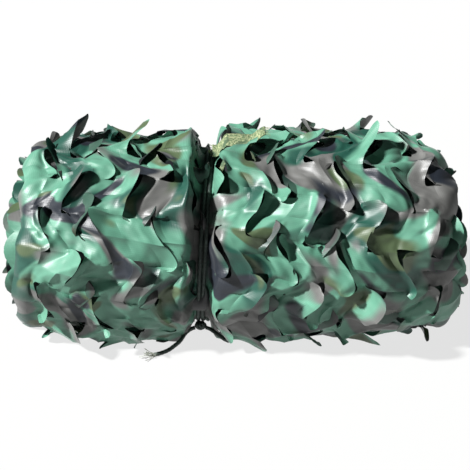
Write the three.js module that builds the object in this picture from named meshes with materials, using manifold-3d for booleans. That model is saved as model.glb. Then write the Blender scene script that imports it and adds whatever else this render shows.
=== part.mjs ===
// A leaf-cut camouflage shade net, folded lengthwise, rolled up and tied round the middle with a doubled cord.
// Millimetres, +Z up. The roll's axis lies along X, and the origin is the middle of the flat spot it rests on.
import * as THREE from "three";
import { mergeVertices } from "three/addons/utils/BufferGeometryUtils.js";
import Module from "manifold-3d";

// Driving dimensions of the roll
const HALF_LENGTH = 243; // from the middle to the shoulder at each end
const RADIUS_Y = 125; // the roll has sagged a little, so it is wider than it is high
const RADIUS_Z = 119;
const FLAT_DEPTH = 13; // how far the flat spot is pressed in
const END_BULGE = 22; // how far the wound ends stand out past the shoulders
const END_SLUMP = 7; // the lower half of each end has slid outwards, the upper half inwards
const SHOULDER_DROP = 13; // the roll is thinner towards its ends
const AXIS_Z = RADIUS_Z - FLAT_DEPTH;

// Driving dimensions of the leaf-cut cloth: columns of slits, which slant one way and the other in turn
const COLUMN_PITCH = 35; // along the roll
const COLUMN_START = 23; // a column of slits that slant to the lower left
const SLITS_AROUND = 8; // in each column, in one turn of the roll
const ZIGZAG_REACH = 13; // how far the cloth between two columns swings to each side
const ROW_START = 0.89; // angle of a slit's middle in that column
const ROW_SLANT = 0.127; // the net was rolled a little askew: the rows drop by this share of the length
const BAND_CROWN = 3; // the cloth between two columns stands up
const SLIT_DIP = 6; // the packed layers show lower inside a slit
const CLOTH_THICKNESS = 2;

// Driving dimensions of the tie
const CORD_DIAMETER = 5;
const GAP = 0.3; // between neighbouring solids
const TIE_X = -36; // where the doubled cord goes round
const TIE_SLANT = 6; // the loop leans by this much to each side
const TIE_SLANT_START = 0.47; // angle that its right-hand side is turned from
const CINCH_DEPTH = 20; // how far the tie draws the roll in
const CINCH_FLOOR = 8; // half width of the bottom of that groove
const CINCH_EDGE = 22; // half width of the groove at its mouth

// Slow bulges and dents of the packed layers
const BULGES = [
  { height: 2.6, along: 2, around: 1, phase: 0.4 },
  { height: 2.0, along: 3, around: 2, phase: 2.1 },
  { height: 1.6, along: 5, around: 3, phase: 4.0 },
];

const TURN = 2 * Math.PI;
const PERIOD_ANGLE = TURN / SLITS_AROUND;
const PERIOD_LENGTH = 95; // of one slit and the bridge after it, along the cloth
const STEPS_AROUND = 4 * SLITS_AROUND;

const leafGreen = new THREE.MeshStandardMaterial({ color: 0x4f8f73, roughness: 0.8, metalness: 0 });
const cordGreen = new THREE.MeshStandardMaterial({ color: 0x25302c, roughness: 0.9, metalness: 0 });
const tapeOlive = new THREE.MeshStandardMaterial({ color: 0xa9b98a, roughness: 0.85, metalness: 0 });

// A repeatable number from 0 to 1 for each pair of whole numbers and each purpose
function chance(column, row, purpose) {
  const wave = Math.sin(column * 12.9898 + row * 78.233 + purpose * 37.719) * 43758.5453;
  return wave - Math.floor(wave);
}

function smoothStep(low, high, value) {
  const share = Math.min(1, Math.max(0, (value - low) / (high - low)));
  return share * share * (3 - 2 * share);
}

// The tie leans along the roll as it goes round. An angle is 0 on top and a quarter turn in front.
function tieX(angle) {
  return TIE_X + TIE_SLANT * Math.cos(angle + TIE_SLANT_START);
}

// 1 in the bottom of the tie's groove, 0 from its mouth outwards
function cinchShare(x, angle) {
  return 1 - smoothStep(CINCH_FLOOR, CINCH_EDGE, Math.abs(x - tieX(angle)));
}

// Distance of the packed layers' surface from the roll's axis
function rollRadius(x, angle) {
  const oval = 1 / Math.hypot(Math.sin(angle) / RADIUS_Y, Math.cos(angle) / RADIUS_Z);
  const open = 1 - cinchShare(x, angle);
  const bulge = BULGES.reduce((sum, row) => {
    const wave = (row.along * Math.PI * x) / HALF_LENGTH / 2 + row.around * angle + row.phase;
    return sum + row.height * Math.sin(wave);
  }, 0);
  const drop = SHOULDER_DROP * smoothStep(HALF_LENGTH - 75, HALF_LENGTH + 10, Math.abs(x));
  return oval - drop - CINCH_DEPTH * (1 - open) + bulge * open;
}

// A point at a height over the packed layers
function pointOverRoll(x, angle, height) {
  const radius = rollRadius(x, angle) + height;
  const slump = -END_SLUMP * Math.sign(x) * Math.cos(angle) * (Math.abs(x) / HALF_LENGTH) ** 4;
  return new THREE.Vector3(x + slump, -radius * Math.sin(angle), AXIS_Z + radius * Math.cos(angle));
}

// The same, pressed level where it would go through the floor
function rollPoint(x, angle, height) {
  const point = pointOverRoll(x, angle, height);
  return point.setZ(Math.max(0, point.z));
}

// The angle at a number of periods past the first row, on its slant
function rowAngle(x, periods) {
  return ROW_START + PERIOD_ANGLE * periods + (ROW_SLANT * (x - COLUMN_START)) / RADIUS_Y;
}

function columnX(column) {
  return COLUMN_START + COLUMN_PITCH * column;
}

// Columns of points on the roll: slit lines and band middles, with the tie's groove between them
const GROOVE_OFFSETS = [-CINCH_EDGE, -15, -CINCH_FLOOR, CINCH_FLOOR, 15, CINCH_EDGE];

function rollColumns() {
  const columns = GROOVE_OFFSETS.map((offset) => ({ x: TIE_X + offset, groove: true, swing: 0 }));
  for (let half = -15; half <= 12; half += 1) {
    const x = columnX(half / 2);
    const fade = 1 - smoothStep(HALF_LENGTH - 40, HALF_LENGTH - 5, Math.abs(x));
    const fromTie = Math.abs(x - TIE_X) - CINCH_EDGE - TIE_SLANT;
    const swing = ZIGZAG_REACH * fade * smoothStep(0, 40, fromTie);
    const slit = half % 2 === 0 ? half / 2 : null;
    if (fromTie > 2 && Math.abs(x) < HALF_LENGTH - 3) columns.push({ x, slit, swing });
  }
  for (const side of [-1, 1]) columns.push({ x: side * HALF_LENGTH, slit: null, swing: 0, flat: true });
  return columns.sort((a, b) => a.x - b.x);
}

// Low relief of the cloth: crowned bands, sunken slits, and level bridges where two bands hang together
function reliefHeight(column, quarter) {
  if (column.groove || column.flat) return 0;
  if (column.slit === null) return BAND_CROWN;
  const bridge = column.slit % 2 === 0 ? quarter % 4 === 2 : quarter % 4 === 0;
  return bridge ? 0 : -SLIT_DIP;
}

// A closed mesh from rings of points, with a middle point that closes each end
function solidFromRings(rings, firstPole, lastPole) {
  const around = rings[0].length;
  const points = [firstPole, ...rings.flat(), lastPole];
  const index = [];
  const at = (ring, step) => 1 + ring * around + (step % around);
  for (let step = 0; step < around; step += 1) {
    index.push(0, at(0, step + 1), at(0, step));
    for (let ring = 0; ring + 1 < rings.length; ring += 1) {
      index.push(at(ring, step), at(ring, step + 1), at(ring + 1, step));
      index.push(at(ring, step + 1), at(ring + 1, step + 1), at(ring + 1, step));
    }
    index.push(points.length - 1, at(rings.length - 1, step), at(rings.length - 1, step + 1));
  }
  const geometry = new THREE.BufferGeometry().setFromPoints(points);
  geometry.setIndex(index);
  return geometry;
}

// The wound end: turns of cloth edge that stand out as a spiral ridge
const END_RINGS = 7;
const END_TURNS = 3;
const SPIRAL_HEIGHT = 4;

function endX(side, share) {
  return side * (HALF_LENGTH + END_BULGE * Math.sqrt(1 - share ** 2.4));
}

function endPoint(side, share, angle, height) {
  const rim = rollRadius(side * HALF_LENGTH, angle) * share;
  const slump = -END_SLUMP * side * Math.cos(angle) * share;
  return new THREE.Vector3(
    endX(side, share) + slump + side * height,
    -rim * Math.sin(angle),
    AXIS_Z + rim * Math.cos(angle),
  );
}

function endRings(side) {
  const rings = [];
  for (let ring = END_RINGS; ring >= 1; ring -= 1) {
    const share = (ring - 0.35) / END_RINGS;
    const points = [];
    for (let quarter = 0; quarter < STEPS_AROUND; quarter += 1) {
      const angle = rowAngle(side * HALF_LENGTH, quarter / 4);
      const spiral = SPIRAL_HEIGHT * Math.cos(TURN * END_TURNS * share - side * angle) * (1 - share ** 6);
      const point = endPoint(side, share, angle, spiral);
      points.push(point.setZ(Math.max(3, point.z)));
    }
    rings.push(points);
  }
  return rings;
}

function rollBody() {
  const middle = rollColumns().map((column) => {
    const points = [];
    for (let quarter = 0; quarter < STEPS_AROUND; quarter += 1) {
      const swing = -column.swing * Math.sin((TURN * quarter) / 4);
      const angle = rowAngle(column.x, quarter / 4);
      const x = column.groove ? column.x - TIE_X + tieX(angle) : column.x + swing;
      points.push(rollPoint(x, angle, reliefHeight(column, quarter)));
    }
    return points;
  });
  const rings = [...endRings(-1).reverse(), ...middle, ...endRings(1)];
  const pole = (side) => endPoint(side, 0, 0, SPIRAL_HEIGHT);
  return solidFromRings(rings, pole(-1), pole(1));
}

// A leaf is the cloth along one side of a slit: tied on at its root, free along the slit,
// with a rounded corner at one end of the slit and a sharp one at the other
const LEAF_DEPTH = 28; // from root to free edge
const LEAF_REACH = 31; // from its middle to its sharp corner, along the slit
const ROOT_DEPTH = 5; // how far the root sinks into the packed layers

const STRONG_LIFT = { least: 13, most: 25 }; // of leaves beside slits that slant to the lower left
const SLIGHT_LIFT = { least: 4, most: 15 }; // of the others
const RIGHT_SIDE_SHARE = 0.4; // of the others, those on the slit's right
const FLOOR_CLEARANCE = 1;

// Where a leaf's free edge ends, as a share of its depth: the rounded corner is cut back
function edgeShare(along) {
  return 1 - 0.34 * smoothStep(-0.45, -1, along) - 0.1 * smoothStep(0.6, 1, along);
}

// Half width of the leaf at a share of its depth: the root is narrower than the free edge
function reachAt(depth) {
  return LEAF_REACH * (0.62 + 0.38 * depth);
}

// How a leaf stands: most of its lift is at the rounded corner
function liftShare(along, tipLift) {
  return tipLift + (1 - tipLift) * smoothStep(1, -0.8, along);
}

// A leaf beside the slit of a column and row. Side is -1 where it lies to the slit's left.
function leafGeometry({ column, row, side, lift, tipLift, back }) {
  const slant = column % 2 === 0 ? 1 : -1;
  const middle = columnX(column) + side * back;
  const periods = row + (slant > 0 ? 0 : 0.5);
  const upright = -slant * side;
  const geometry = new THREE.BoxGeometry(1, 2, 1, 2, 3, 1);
  const position = geometry.attributes.position;
  for (let i = 0; i < position.count; i += 1) {
    const depth = position.getX(i) + 0.5;
    const along = -slant * position.getY(i);
    const slope = Math.asin((lift * liftShare(along, tipLift)) / LEAF_DEPTH) * (0.55 + 0.45 * depth);
    const out = LEAF_DEPTH * depth * edgeShare(along);
    const off = CLOTH_THICKNESS * position.getZ(i);
    const down = upright * along * reachAt(depth);
    const swing = -slant * ZIGZAG_REACH * Math.sin((TURN * down) / PERIOD_LENGTH);
    const x = middle + side * (LEAF_DEPTH - out * Math.cos(slope) + off * Math.sin(slope)) + swing;
    const sunk = ROOT_DEPTH * (1 - smoothStep(0, 0.34, depth));
    const height = 1.5 + out * Math.sin(slope) - sunk + off * Math.cos(slope);
    const point = pointOverRoll(x, rowAngle(x, periods) + (down * PERIOD_ANGLE) / PERIOD_LENGTH, height);
    position.setXYZ(i, point.x, point.y, point.z);
  }
  return geometry;
}

// The edge tape lies over the top beside the tie
const TAPE = {
  width: 18,
  thickness: 1.4,
  start: -27,
  end: 36,
  angle: 0.02,
  height: 7.7,
  face: 0.5, // how far its face is turned to the front
  kick: 12, // of its right end
  bridging: 0.35, // how far it stays level over the groove
};

// The tie and the edge tape keep a clear strip of the roll
function keepsClear(x, angle) {
  const byTie = Math.abs(x - tieX(angle)) < 11;
  const turned = Math.atan2(Math.sin(angle - TAPE.angle), Math.cos(angle - TAPE.angle));
  const underTape = x > TAPE.start - 8 && x < TAPE.end + 18 && turned > -0.3 && turned < 0.5;
  return !byTie && !underTape;
}

function leafStays(geometry) {
  const position = geometry.attributes.position;
  for (let i = 0; i < position.count; i += 1) {
    const angle = Math.atan2(-position.getY(i), position.getZ(i) - AXIS_Z);
    if (position.getZ(i) < FLOOR_CLEARANCE || !keepsClear(position.getX(i), angle)) return false;
  }
  return true;
}

// Ways to lay a leaf that would meet the tie, the tape or the floor: flatter, and drawn back from the slit
const LAYS = [
  { press: 1, back: 0 },
  { press: 0.65, back: 0 },
  { press: 0.65, back: 8 },
  { press: 0.5, back: 15 },
  { press: 0.3, back: 21 },
];

// The leaf of a slit, or null where no lay keeps it clear
function leafAt(column, row) {
  const strong = column % 2 === 0;
  const range = strong ? STRONG_LIFT : SLIGHT_LIFT;
  const fullLift = range.least + (range.most - range.least) * chance(column, row, 1);
  const onRight = column === -1 || (!strong && chance(column, row, 2) < RIGHT_SIDE_SHARE);
  const tipLift = 0.1 + 0.55 * chance(column, row, 3) ** 2;
  for (const { press, back } of LAYS) {
    const leaf = leafGeometry({ column, row, side: onRight ? 1 : -1, lift: fullLift * press, tipLift, back });
    if (leafStays(leaf)) return leaf;
  }
  return null;
}

// Leaves that stand out of the wound ends, in two circles
const END_CIRCLES = [
  { count: 8, share: 0.83, lift: 15 },
  { count: 5, share: 0.45, lift: 11 },
];

function endLeaf(side, circle, place) {
  const start = (TURN * (place + 0.7 * chance(place, circle.count, side + 11))) / circle.count;
  const lift = circle.lift * (0.6 + 0.7 * chance(place, circle.count, side + 14));
  const geometry = new THREE.BoxGeometry(1, 2, 1, 2, 2, 1);
  const position = geometry.attributes.position;
  for (let i = 0; i < position.count; i += 1) {
    const depth = position.getX(i) + 0.5;
    const along = position.getY(i);
    const share = circle.share + (0.17 * depth * edgeShare(along) - 0.1);
    const turn = start + (side * along * 0.62 * reachAt(depth)) / (RADIUS_Z * circle.share);
    const sunk = ROOT_DEPTH * (1 - smoothStep(0, 0.5, depth));
    const height = lift * depth * liftShare(along, 0.3) - sunk + CLOTH_THICKNESS * position.getZ(i);
    const point = endPoint(side, Math.min(0.99, share), turn, height);
    position.setXYZ(i, point.x, point.y, point.z);
  }
  return geometry;
}

function allLeaves() {
  const leaves = [];
  for (let column = -6; column <= 6; column += 1)
    for (let row = 0; row < SLITS_AROUND; row += 1) leaves.push(leafAt(column, row));
  for (const side of [-1, 1])
    for (const circle of END_CIRCLES)
      for (let place = 0; place < circle.count; place += 1) leaves.push(endLeaf(side, circle, place));
  return leaves.filter((leaf) => leaf !== null && leafStays(leaf));
}

// Booleans, for the roll with its leaves and for the knot
const wasm = await Module();
wasm.setup();

function toManifold(geometry) {
  const bare = geometry.clone();
  bare.deleteAttribute("normal");
  bare.deleteAttribute("uv");
  const merged = mergeVertices(bare, 1e-3);
  return new wasm.Manifold(
    new wasm.Mesh({
      numProp: 3,
      vertProperties: merged.attributes.position.array,
      triVerts: new Uint32Array(merged.index.array),
    }),
  );
}

function toGeometry(solid) {
  const mesh = solid.getMesh();
  const geometry = new THREE.BufferGeometry();
  geometry.setAttribute("position", new THREE.BufferAttribute(new Float32Array(mesh.vertProperties), 3));
  geometry.setIndex(new THREE.BufferAttribute(new Uint32Array(mesh.triVerts), 1));
  return geometry;
}

// The largest body of the joined pieces, without any small hollow that they close between them
function joined(geometries) {
  const whole = geometries.map(toManifold).reduce((sum, piece) => sum.add(piece));
  const bodies = whole.decompose().sort((a, b) => b.volume() - a.volume());
  return toGeometry(bodies[0]);
}

function named(name, geometry, material) {
  const mesh = new THREE.Mesh(geometry, material);
  mesh.name = name;
  return mesh;
}

// One strand of the doubled tie: a ring that lies in the bottom of the groove
const CORD_SIDES = 8;
const LOOP_STEPS = 2 * STEPS_AROUND;
const STRAND_OFFSET = (CORD_DIAMETER + GAP) / 2;

function cordRadiusFromAxis(angle) {
  return rollRadius(tieX(angle), angle) + GAP + CORD_DIAMETER / 2;
}

function tieStrand(side) {
  const ring = new THREE.TorusGeometry(RADIUS_Z, CORD_DIAMETER / 2, CORD_SIDES, LOOP_STEPS);
  const position = ring.attributes.position;
  for (let i = 0; i < position.count; i += 1) {
    const angle = Math.atan2(position.getX(i), position.getY(i));
    const off = Math.hypot(position.getX(i), position.getY(i)) - RADIUS_Z;
    const radius = cordRadiusFromAxis(angle) + off;
    const x = tieX(angle) + side * STRAND_OFFSET - position.getZ(i);
    position.setXYZ(i, x, -radius * Math.sin(angle), AXIS_Z + radius * Math.cos(angle));
  }
  return ring;
}

// The knot sits on both strands, low on the front of the roll
const KNOT_ANGLE = 2.42;
const KNOT_SIZE = 11;

function knotFrame() {
  const outwards = new THREE.Vector3(0, -Math.sin(KNOT_ANGLE), Math.cos(KNOT_ANGLE));
  const across = new THREE.Vector3(0, Math.cos(KNOT_ANGLE), Math.sin(KNOT_ANGLE));
  const height = cordRadiusFromAxis(KNOT_ANGLE) + CORD_DIAMETER / 2 + GAP + KNOT_SIZE / 2;
  const middle = outwards.clone().multiplyScalar(height);
  middle.add(new THREE.Vector3(tieX(KNOT_ANGLE), 0, AXIS_Z));
  return new THREE.Matrix4().makeBasis(new THREE.Vector3(1, 0, 0), across, outwards).setPosition(middle);
}

function tieKnot() {
  const core = new THREE.SphereGeometry(KNOT_SIZE / 2, 10, 7).scale(1.15, 1, 0.85);
  const wraps = [-0.5, 0.6].map((tilt) =>
    new THREE.TorusGeometry(KNOT_SIZE / 2, CORD_DIAMETER * 0.4, 6, 14)
      .scale(1.1, 0.72, 1)
      .rotateX(Math.PI / 2)
      .rotateZ(tilt),
  );
  const lump = toManifold(core).add(toManifold(wraps[0])).add(toManifold(wraps[1]));
  return toGeometry(lump).applyMatrix4(knotFrame());
}

// A tube along a hand-laid route, with closed ends
function cordTube(route, diameter, steps) {
  const section = new THREE.Shape(
    Array.from({ length: CORD_SIDES }, (_, i) => {
      const turn = (TURN * i) / CORD_SIDES;
      return new THREE.Vector2((diameter / 2) * Math.cos(turn), (diameter / 2) * Math.sin(turn));
    }),
  );
  const path = new THREE.CatmullRomCurve3(route.map((point) => new THREE.Vector3(...point)));
  return new THREE.ExtrudeGeometry(section, { steps, bevelEnabled: false, extrudePath: path });
}

// The free end leaves the knot to the left and comes down onto the floor in front of the roll
const FREE_END_ROUTE = [
  [-48.8, -75, 18.4],
  [-54, -77.5, 17.5],
  [-60, -83, 15],
  [-66, -93, 10.5],
  [-73, -98, 6.4],
  [-80, -103, 3.6],
  [-88, -108, 2.8],
  [-96, -112, 2.8],
];
// The short end is tucked along the underside to the right
const SHORT_END_ROUTE = [
  [-34.9, -75, 18.4],
  [-29.5, -77.5, 17.5],
  [-21, -85, 15],
  [-13, -91, 12],
  [-7, -93, 10],
];

// A strip of tape along the roll: bent by the function that gives each station's place and up direction
function strip(length, width, thickness, steps, stationAt) {
  const geometry = new THREE.BoxGeometry(length, width, thickness, steps, 1, 1);
  const position = geometry.attributes.position;
  for (let i = 0; i < position.count; i += 1) {
    const station = stationAt(position.getX(i) / length + 0.5);
    const point = station.at.clone();
    point.addScaledVector(station.across, position.getY(i));
    point.addScaledVector(station.up, position.getZ(i));
    position.setXYZ(i, point.x, point.y, point.z);
  }
  return geometry;
}

// The tape rides over the bands. Its face is turned to the front, and its right end is kicked up.
function edgeTape() {
  return strip(TAPE.end - TAPE.start, TAPE.width, TAPE.thickness, 8, (share) => {
    const x = TAPE.start + share * (TAPE.end - TAPE.start);
    const kick = TAPE.kick * smoothStep(0.7, 1, share);
    const face = TAPE.face - 0.35 * smoothStep(0.6, 1, share);
    const up = new THREE.Vector3(0, -Math.sin(face), Math.cos(face));
    const across = new THREE.Vector3(0, Math.cos(face), Math.sin(face));
    const level = TAPE.bridging * (rollRadius(TAPE.end, TAPE.angle) - rollRadius(x, TAPE.angle));
    return { at: pointOverRoll(x, TAPE.angle, TAPE.height + level + kick), across, up };
  });
}

// The narrow tail hangs out from under the tape towards the tie
const TAIL = {
  length: 34,
  width: 5,
  thickness: 1.4,
  x: -4,
  run: 18, // how far it goes to the left
  angle: 0.24,
  turn: 0.26, // how far it goes down the front
  height: 7,
};

function tapeTail() {
  return strip(TAIL.length, TAIL.width, TAIL.thickness, 4, (share) => {
    const x = TAIL.x - TAIL.run * share;
    const angle = TAIL.angle + TAIL.turn * share;
    const up = new THREE.Vector3(0, -Math.sin(angle), Math.cos(angle));
    const slope = new THREE.Vector3(-0.55, -Math.cos(angle), -Math.sin(angle)).normalize();
    const across = new THREE.Vector3().crossVectors(up, slope);
    return { at: pointOverRoll(x, angle, TAIL.height), across, up };
  });
}

const net = new THREE.Group();
net.add(named("net_roll", joined([rollBody(), ...allLeaves()]), leafGreen));
net.add(named("tie_strand_left", tieStrand(-1), cordGreen));
net.add(named("tie_strand_right", tieStrand(1), cordGreen));
net.add(named("tie_knot", tieKnot(), cordGreen));
net.add(named("tie_free_end", cordTube(FREE_END_ROUTE, CORD_DIAMETER, 16), cordGreen));
net.add(named("tie_short_end", cordTube(SHORT_END_ROUTE, CORD_DIAMETER, 8), cordGreen));
net.add(named("edge_tape", edgeTape(), tapeOlive));
net.add(named("tape_tail", tapeTail(), tapeOlive));

export default net;
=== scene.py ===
# %% [markdown]
# # A rolled camouflage net
# The object is a shade net of printed cloth, cut with rows of slits so that it opens into leaves.
# It has been folded lengthwise, rolled up, and tied round the middle with a doubled cord. We load
# the imported model first, because every piece below lies on its solids, and we keep its box to
# read the roll's length for the camera.

# %% Load the imported model
import math

import bpy
import numpy as np
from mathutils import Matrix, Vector, noise


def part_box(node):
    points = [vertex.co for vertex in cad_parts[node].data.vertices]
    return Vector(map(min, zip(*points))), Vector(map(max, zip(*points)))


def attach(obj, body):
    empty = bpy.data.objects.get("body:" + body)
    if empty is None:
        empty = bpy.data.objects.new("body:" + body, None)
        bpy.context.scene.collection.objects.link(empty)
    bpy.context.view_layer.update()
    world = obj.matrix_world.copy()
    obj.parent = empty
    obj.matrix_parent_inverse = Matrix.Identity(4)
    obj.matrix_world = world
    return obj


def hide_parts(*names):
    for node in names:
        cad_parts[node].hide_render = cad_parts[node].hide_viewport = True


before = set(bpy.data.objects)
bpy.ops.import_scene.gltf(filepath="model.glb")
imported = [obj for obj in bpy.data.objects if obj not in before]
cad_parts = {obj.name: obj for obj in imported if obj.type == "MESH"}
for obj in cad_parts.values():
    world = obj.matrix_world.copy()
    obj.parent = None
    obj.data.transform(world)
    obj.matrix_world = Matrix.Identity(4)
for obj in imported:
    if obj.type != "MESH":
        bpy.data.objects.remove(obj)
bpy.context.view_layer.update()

MM = 0.001
TURN = 2 * math.pi
scene = bpy.context.scene
scene.view_settings.view_transform = "Standard"
print("solids:", sorted(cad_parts))

# %% [markdown]
# ## The camera
# The roll lies across the view, and we look down at it from in front by about 27 degrees. A long
# lens from nearly two metres keeps both ends at nearly the same scale, as in a catalogue
# photograph. The field of view is worked out so that the roll's length fills its share of the
# picture.

# %% Camera
VIEW_ELEVATION = math.radians(27)
VIEW_DISTANCE = 1.75
SHARE_OF_WIDTH = 0.965
AIM = Vector((0, 0, 106 * MM))


def add_object(name, data):
    """Puts a mesh, a light or the camera into the scene."""
    thing = bpy.data.objects.new(name, data)
    scene.collection.objects.link(thing)
    return thing


camera_data = bpy.data.cameras.new("camera")
camera = add_object("camera", camera_data)
backwards = Vector((0, -math.cos(VIEW_ELEVATION), math.sin(VIEW_ELEVATION)))
camera.location = AIM + VIEW_DISTANCE * backwards
camera.rotation_euler = (AIM - camera.location).to_track_quat("-Z", "Y").to_euler()
roll_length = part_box("net_roll")[1][0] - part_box("net_roll")[0][0]
camera_data.sensor_width = 36
camera_data.lens = camera_data.sensor_width * VIEW_DISTANCE * SHARE_OF_WIDTH / roll_length
camera_data.clip_start = 0.05
scene.camera = camera
print(f"camera: {camera_data.lens:.0f} mm lens for a roll {roll_length:.3f} m long")

# %% [markdown]
# ## Small helpers
# A repeatable chance for each leaf makes the net uneven in the same way on every run. A smooth
# step turns a distance into a soft 0 to 1. All take whole arrays, because the cloth has thousands
# of points.

# %% Helpers for numbers


def chance(column, row, purpose):
    wave = np.sin(column * 12.9898 + row * 78.233 + purpose * 37.719) * 43758.5453
    return wave - np.floor(wave)


def smooth_step(low, high, value):
    share = np.clip((value - low) / (high - low), 0, 1)
    return share * share * (3 - 2 * share)


def between(limits, share):
    """The value at a share of the way from the first limit to the second."""
    return limits[0] + (limits[1] - limits[0]) * share


# %% [markdown]
# ## The form of the roll
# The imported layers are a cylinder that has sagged: wider than high, with slow bulges, thinner
# shoulders, a groove where the tie pulls it in, and a flat spot on the floor. Every piece of
# cloth is laid at a height over that form, so one function that gives a point for a place along
# the roll, an angle and a height serves all.

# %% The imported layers
HALF_LENGTH = 243 * MM
RADIUS_Y = 125 * MM
RADIUS_Z = 119 * MM
AXIS_Z = RADIUS_Z - 13 * MM
END_BULGE = 22 * MM
END_CROWN = 2.4
END_SLUMP = 7 * MM
END_TAPER = 140 * MM
TURN_IN = 25 * MM
TURN_IN_TILT = math.radians(60)
SHOULDER = (HALF_LENGTH - 75 * MM, HALF_LENGTH + 10 * MM)
SHOULDER_DROP = 13 * MM
TIE_X = -36 * MM
TIE_SLANT = 6 * MM
TIE_SLANT_START = 0.47
CINCH_DEPTH = 20 * MM
CINCH_FLOOR = 8 * MM
CINCH_EDGE = 22 * MM
BULGES = [(2.6 * MM, 2, 1, 0.4), (2.0 * MM, 3, 2, 2.1), (1.6 * MM, 5, 3, 4.0)]


def tie_x(angle):
    return TIE_X + TIE_SLANT * np.cos(angle + TIE_SLANT_START)


def cinch_share(x, angle):
    return 1 - smooth_step(CINCH_FLOOR, CINCH_EDGE, np.abs(x - tie_x(angle)))


def roll_radius(x, angle):
    oval = 1 / np.hypot(np.sin(angle) / RADIUS_Y, np.cos(angle) / RADIUS_Z)
    cinch = cinch_share(x, angle)
    bulge = sum(
        height * np.sin(along * math.pi * x / HALF_LENGTH / 2 + around * angle + phase)
        for height, along, around, phase in BULGES
    )
    drop = SHOULDER_DROP * smooth_step(*SHOULDER, np.abs(x))
    return oval - drop - CINCH_DEPTH * cinch + bulge * (1 - cinch)


def end_crown(share):
    """How far a wound end stands out past the shoulder, from its rim at 1 to its middle at 0."""
    return END_BULGE * np.sqrt(1 - np.clip(share, 0, 1) ** END_CROWN)


def over_roll(x, angle, height):
    """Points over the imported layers. Past the shoulders they turn inwards over the wound ends."""
    side = np.sign(x)
    past = np.clip(np.abs(x) - HALF_LENGTH, 0, None)
    share = 1 - past / END_TAPER
    tilt = np.clip(past / TURN_IN, 0, 1) * TURN_IN_TILT
    body_x = np.where(past > 0, side * (HALF_LENGTH + end_crown(share)), x)
    inner_x = np.clip(x, -HALF_LENGTH, HALF_LENGTH)
    radius = roll_radius(inner_x, angle) * share + height * np.cos(tilt)
    slump = -END_SLUMP * side * np.cos(angle) * (np.abs(inner_x) / HALF_LENGTH) ** 4 * share
    along = body_x + slump + side * height * np.sin(tilt)
    return np.stack([along, -radius * np.sin(angle), AXIS_Z + radius * np.cos(angle)], axis=-1)


def round_roll(points):
    """Angle round the roll and distance from its axis of points."""
    y, z = points[..., 1], points[..., 2] - AXIS_Z
    return np.arctan2(-y, z), np.hypot(y, z)


print(f"radius in the tie's groove: {float(roll_radius(TIE_X, 0)) / MM:.0f} mm")

# %% [markdown]
# ## Meshes from arrays
# Most pieces here are worked out point by point, so one function turns arrays of points, faces
# and flat cloth coordinates into a Blender object. The flat coordinates are kept as a UV map in
# metres: the print and the weave follow the cloth through them, however it is bent.

# %% Mesh helper


def make_mesh(name, points, faces, flat=None, smooth=True):
    mesh = bpy.data.meshes.new(name)
    mesh.from_pydata([tuple(p) for p in points], [], [tuple(f) for f in faces])
    if flat is not None:
        layer = mesh.uv_layers.new(name="cloth")
        corner_vertices = np.empty(len(mesh.loops), dtype=np.int32)
        mesh.loops.foreach_get("vertex_index", corner_vertices)
        layer.data.foreach_set("uv", np.asarray(flat, dtype=np.float32)[corner_vertices].ravel())
    mesh.polygons.foreach_set("use_smooth", [smooth] * len(mesh.polygons))
    mesh.update()
    return add_object(name, mesh)


def quads(rows, columns, round_rows=False, round_columns=False, flip=False):
    """Faces of a grid of points. A round direction closes on itself."""
    for i in range(rows if round_rows else rows - 1):
        for j in range(columns if round_columns else columns - 1):
            here, far, beside = i * columns, (i + 1) % rows * columns, (j + 1) % columns
            face = (here + j, far + j, far + beside, here + beside)
            yield (face[0], *face[:0:-1]) if flip else face


def points_of(mesh):
    return np.array([v.co for v in mesh.vertices])


def move_points(mesh, points):
    mesh.vertices.foreach_set("co", points.astype(np.float32).ravel())
    mesh.update()


def applied(piece):
    """The piece's mesh with its modifiers carried out. They are taken off the piece."""
    mesh = bpy.data.meshes.new_from_object(
        piece.evaluated_get(bpy.context.evaluated_depsgraph_get())
    )
    piece.modifiers.clear()
    return mesh


# %% [markdown]
# ## The slit lattice
# Leaf cloth is made by stamping staggered slits into a plain sheet, each with a hooked end on
# either side, and pulling it open. Columns of slits run round the roll, and slant one way and the
# other in turn. We make the sheet as a grid and part it along each slit: points there get a
# second copy, used only by the faces on the slit's leaf side. The lattice's sizes are those of
# the solids.

# %% Lattice sizes
COLUMN_PITCH = 35 * MM
COLUMN_START = 23 * MM
SLITS_AROUND = 8
ZIGZAG_REACH = 13 * MM
ROW_START = 0.89
ROW_SLANT = 0.127
PERIOD_LENGTH = 95 * MM
PERIOD_ANGLE = TURN / SLITS_AROUND
CELLS_ACROSS = 8
CELLS_ALONG = 24
AROUND = SLITS_AROUND * CELLS_ALONG
HALF_SLIT = 7
LONG_HOOKS = (5, 6, 6, 7)
SHORT_HOOKS = (3, 3, 4, 5)
CELL_X = COLUMN_PITCH / CELLS_ACROSS
CELL_V = PERIOD_LENGTH / CELLS_ALONG


def column_x(column):
    return COLUMN_START + COLUMN_PITCH * column


def row_angle(x, periods):
    return ROW_START + PERIOD_ANGLE * periods + ROW_SLANT * (x - COLUMN_START) / RADIUS_Y


def slits(first, last):
    """Column, row, grid column and grid row of each slit between two columns."""
    for column in range(first, last + 1):
        for row in range(SLITS_AROUND):
            middle = row * CELLS_ALONG + (0 if column % 2 == 0 else CELLS_ALONG // 2)
            yield column, row, (column - first + 1) * CELLS_ACROSS, middle


# %% [markdown]
# ## How a leaf stands
# A slit with a hook frees a tongue of cloth on that side. The tongue is rounded at the hook's
# corner, stays joined along a line from the hook's end to the slit's far end, and swings up about
# that line. The leaves to the left of slits that lean like a slash have the long hooks and stand
# highest, as in the solids. The others lift a little or sink.

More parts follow.
